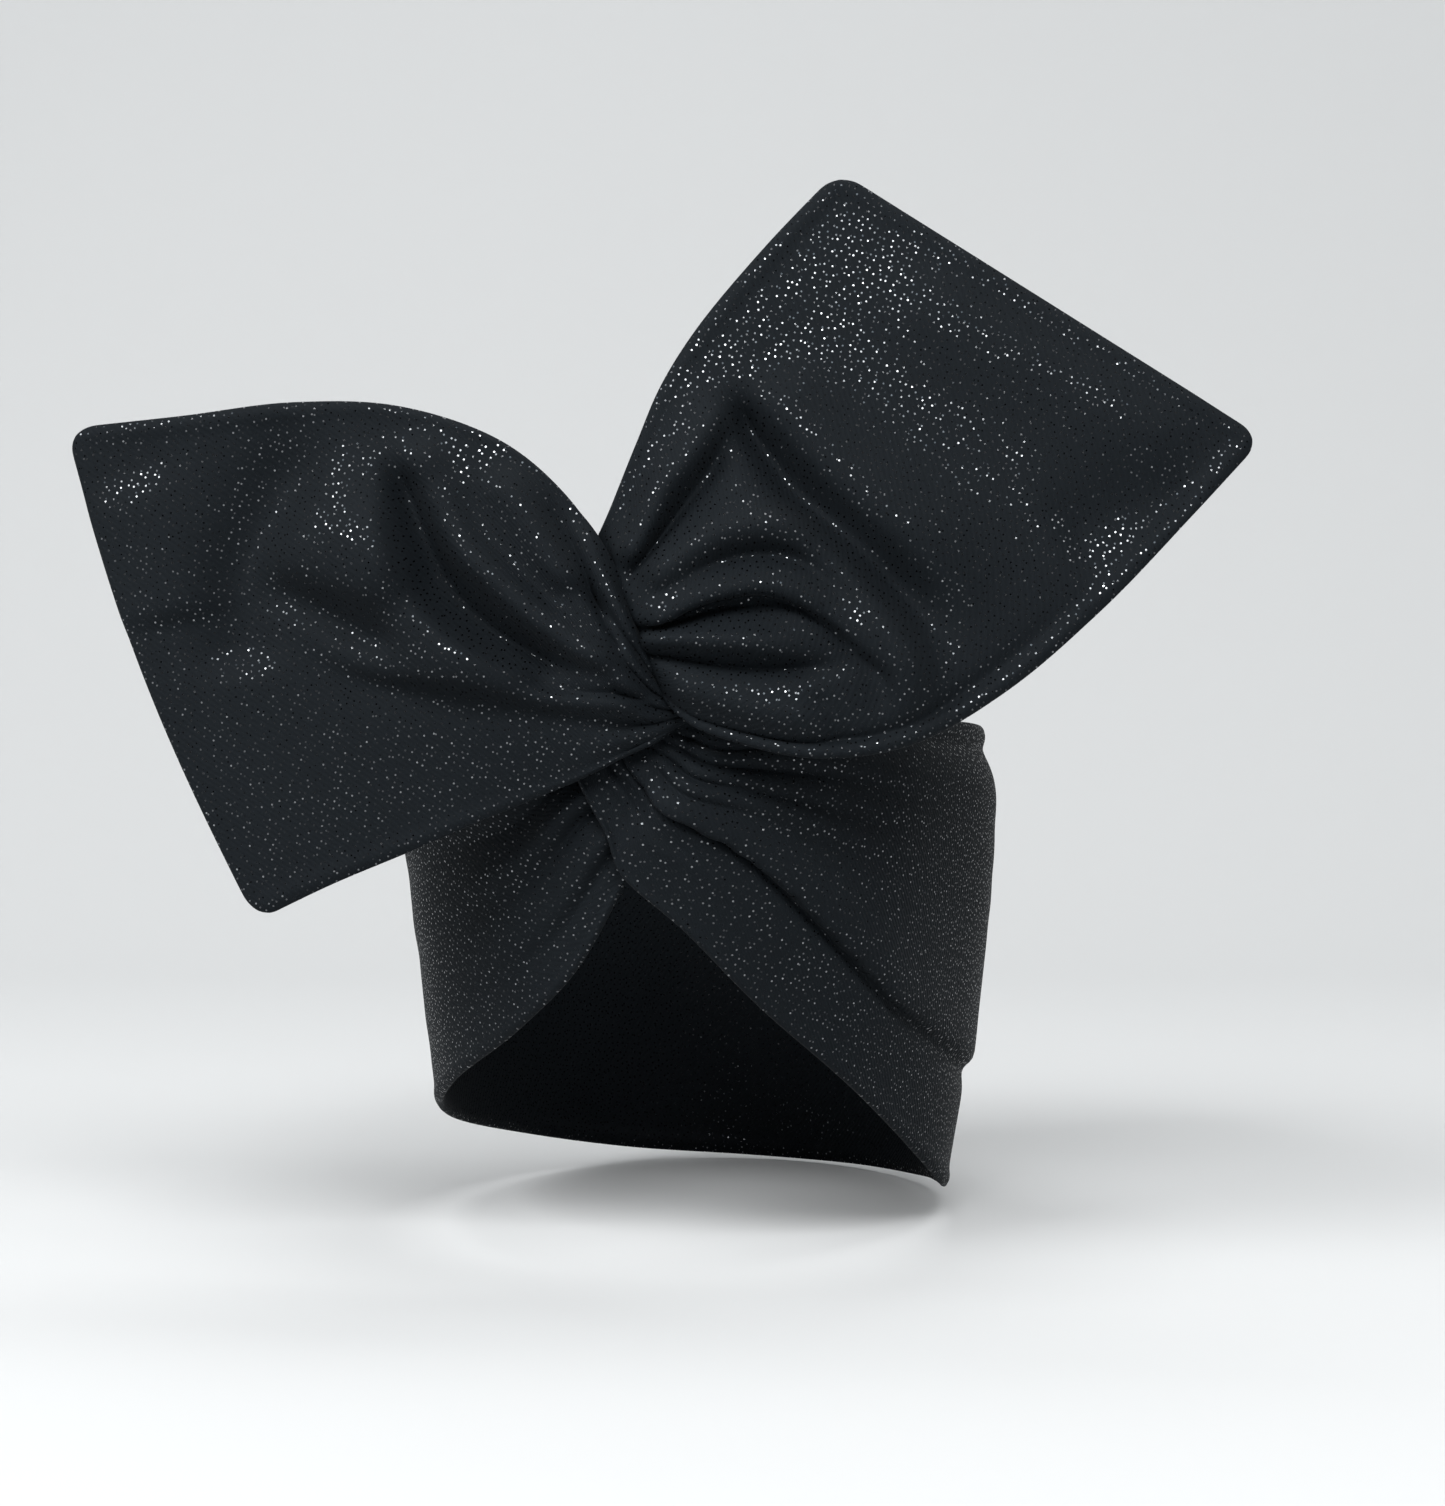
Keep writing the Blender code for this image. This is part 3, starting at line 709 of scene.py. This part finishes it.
def head_rib(low_angle, low, high_angle, spread, off_low=0.0, off_high=0.0):
    """A row of places on the head; angles in degrees turn from the front to +X."""

    def row(columns):
        high = low + spread * STRIP_WIDTH / MM
        turn = np.radians(high_angle + (low_angle - high_angle) * columns)
        height = (high + (low - high) * columns) * MM
        off = (3.5 + off_high + (off_low - off_high) * columns) * MM
        above = np.sqrt(np.maximum(0, 1 - (height / HEAD_CROWN) ** 2))
        below = 1 - HEAD_DROP_TAPER * (np.maximum(0, -height) / HEAD_DROP) ** 1.35
        share = np.where(height > 0, above, below)
        x = (HEAD_HALF_WIDTH * share + off) * np.sin(turn)
        y = -(HEAD_HALF_DEPTH * share + off) * np.cos(turn)
        return np.stack((x, y, height), 1)

    return row


def neck_rib(upper, lower):
    return lambda columns: straight_rib(upper, lower, columns)


BAND_RIBS = [
    neck_rib((-1, 2, 9), (-18, 29, 9)),
    neck_rib((-3, -3, 9), (-26, 9, 8.5)),
    neck_rib((1, -9, 8.5), (-23, -14, 7)),
    neck_rib((6, -12, 8), (-17, -30, 6)),
    neck_rib((13, -14, 8), (-11, -41, 7)),
    head_rib(-1, -15, 17, 0.265, 4.5, 5.5),
    head_rib(10, -30, 28, 0.40, 3.5, 3.0),
    head_rib(23, -49, 42, 0.567, 1.5, 1.0),
    head_rib(45, -73.5, 60, 0.75, 0.3),
    head_rib(84, -106, 90, 0.985),
    head_rib(120, -113, 120, 1.0),
    head_rib(150, -115, 150, 1.0),
    head_rib(180, -115, 180, 1.0),
    head_rib(210, -112, 210, 1.0),
    head_rib(240, -104, 240, 1.0),
    head_rib(273, -92, 270, 0.97),
    head_rib(312, -74, 300, 0.86),
    head_rib(336, -57, 318, 0.72, 0, 1.5),
    head_rib(350, -40.5, 331, 0.568, 0, 4.0),
    head_rib(360, -18, 341, 0.393, 0, 7.5),
    neck_rib((-10, -12, 12), (3, -34, 11.5)),
    neck_rib((1, -12, 12.5), (12, -22, 12)),
]
CROSSING_RIB, LEFT_FRONT_RIB = 3, 20


def unrolled(places):
    """Round the head and up it, in metres."""
    turn = np.arctan2(places[:, 0], -places[:, 1])
    return turn * (HEAD_HALF_WIDTH + HEAD_HALF_DEPTH) / 2, places[:, 2]


def band_cloth():
    columns = strip_columns(2.9 * MM)
    ribs = [rib(columns) for rib in BAND_RIBS]
    at = row_numbers(ribs, 3.2 * MM)
    places = through(ribs, at)
    at = np.array(at)
    steps = np.linalg.norm(np.diff(places, axis=0), axis=-1)
    lengths = np.concatenate(([0], np.cumsum(steps.mean(axis=1))))
    from_right = (lengths - np.interp(CROSSING_RIB, at, lengths))[:, None] / MM
    from_left = (np.interp(LEFT_FRONT_RIB, at, lengths) - lengths)[:, None] / MM
    v = np.broadcast_to(columns, places.shape[:2])
    inner = step(1 - v, 0, 0.06) * (0.4 + 0.6 * step(v, 0, 0.06))
    # the upper cloth falls over the lower cuff in one long pleat
    pleat = 0.50 + 0.22 * step(from_right, 5, 110)
    above = (pleat - v) * STRIP_WIDTH / MM
    fade = step(from_right, -8, 6) * (1 - step(from_right, 150, 230))
    full = 4.6 - 2.4 * step(from_right, 70, 135)
    lift = full * fade * step(above, -1.6, 1.4) * np.exp(-np.maximum(above, 0) / 15)
    lift -= 1.6 * fade * np.exp(-(((above + 3.5) / 3.0) ** 2))
    overlap = (4.0 - 1.5 * step(from_right, 80, 140)) * fade
    overlap = overlap * step(above, -1.6, 1.0) * step(-above, -8, 0)
    # the upper edge draws in over the side of the head
    right_side = np.exp(-(((from_right - 128) / 60) ** 2))
    lift -= 7.5 * right_side * step(-v * STRIP_WIDTH / MM, -20, 0) ** 1.5
    # gathers that run out from the crossing to either side
    near = np.exp(-np.maximum(from_right, 0) / 58) * step(from_right, -2, 16)
    for place, tall in ((0.07, 1.6), (0.17, 2.6), (0.28, 2.2), (0.38, 2.4)):
        away = (v - place) * STRIP_WIDTH / MM
        lift += tall * near * (np.exp(-((away / 4.5) ** 2)) - 0.8 * np.exp(-(((away - 6) / 3) ** 2)))
    for place, tall in ((0.60, 1.8), (0.74, 1.2)):
        away = (v - place) * STRIP_WIDTH / MM
        close = np.exp(-np.maximum(from_right, 0) / 26) * step(from_right, -12, 4)
        lift += tall * close * (np.exp(-((away / 4) ** 2)) - 0.7 * np.exp(-(((away + 5) / 3) ** 2)))
    near = np.exp(-np.maximum(from_left, 0) / 42) * step(from_left, -15, 0)
    for place, tall in ((0.10, 2.0), (0.25, 2.4), (0.42, 2.6), (0.60, 3.0), (0.80, 2.0)):
        away = (v - place) * STRIP_WIDTH / MM
        lift += 1.5 * tall * near * (np.exp(-((away / 5) ** 2)) - 0.9 * np.exp(-(((away - 8) / 4) ** 2)))
    # slack waves round the back
    middle = step(from_right, 60, 150) * step(from_left, 60, 150)
    wander = np.sin(from_right / 31 + 4 * v) + 0.7 * np.sin(from_right / 17 - 7 * v + 1)
    lift += 0.5 * middle * wander
    along = np.gradient(places, axis=0)
    across = np.gradient(places, axis=1)
    outward = np.cross(across, along)
    outward /= np.maximum(np.linalg.norm(outward, axis=-1, keepdims=True), 1e-12)
    if outward[len(at) // 2, len(columns) // 2] @ np.array((0, 1, 0)) < 0:
        outward = -outward
    downward = across / np.maximum(np.linalg.norm(across, axis=-1, keepdims=True), 1e-12)
    places = places + outward * (lift * inner * MM)[..., None] + downward * (overlap * MM)[..., None]
    return doubled_cloth("band_cloth", places, np.full(len(at), 1.0), columns, lengths, unrolled)


band = band_cloth()
make_of_knit(band)
for section in ("right_band", "back_band", "left_band"):
    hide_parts(f"{section}_face", f"{section}_lining")
for edge in ("upper", "lower"):
    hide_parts(f"band_{edge}_wire", f"band_{edge}_seam")
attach(band, "band")
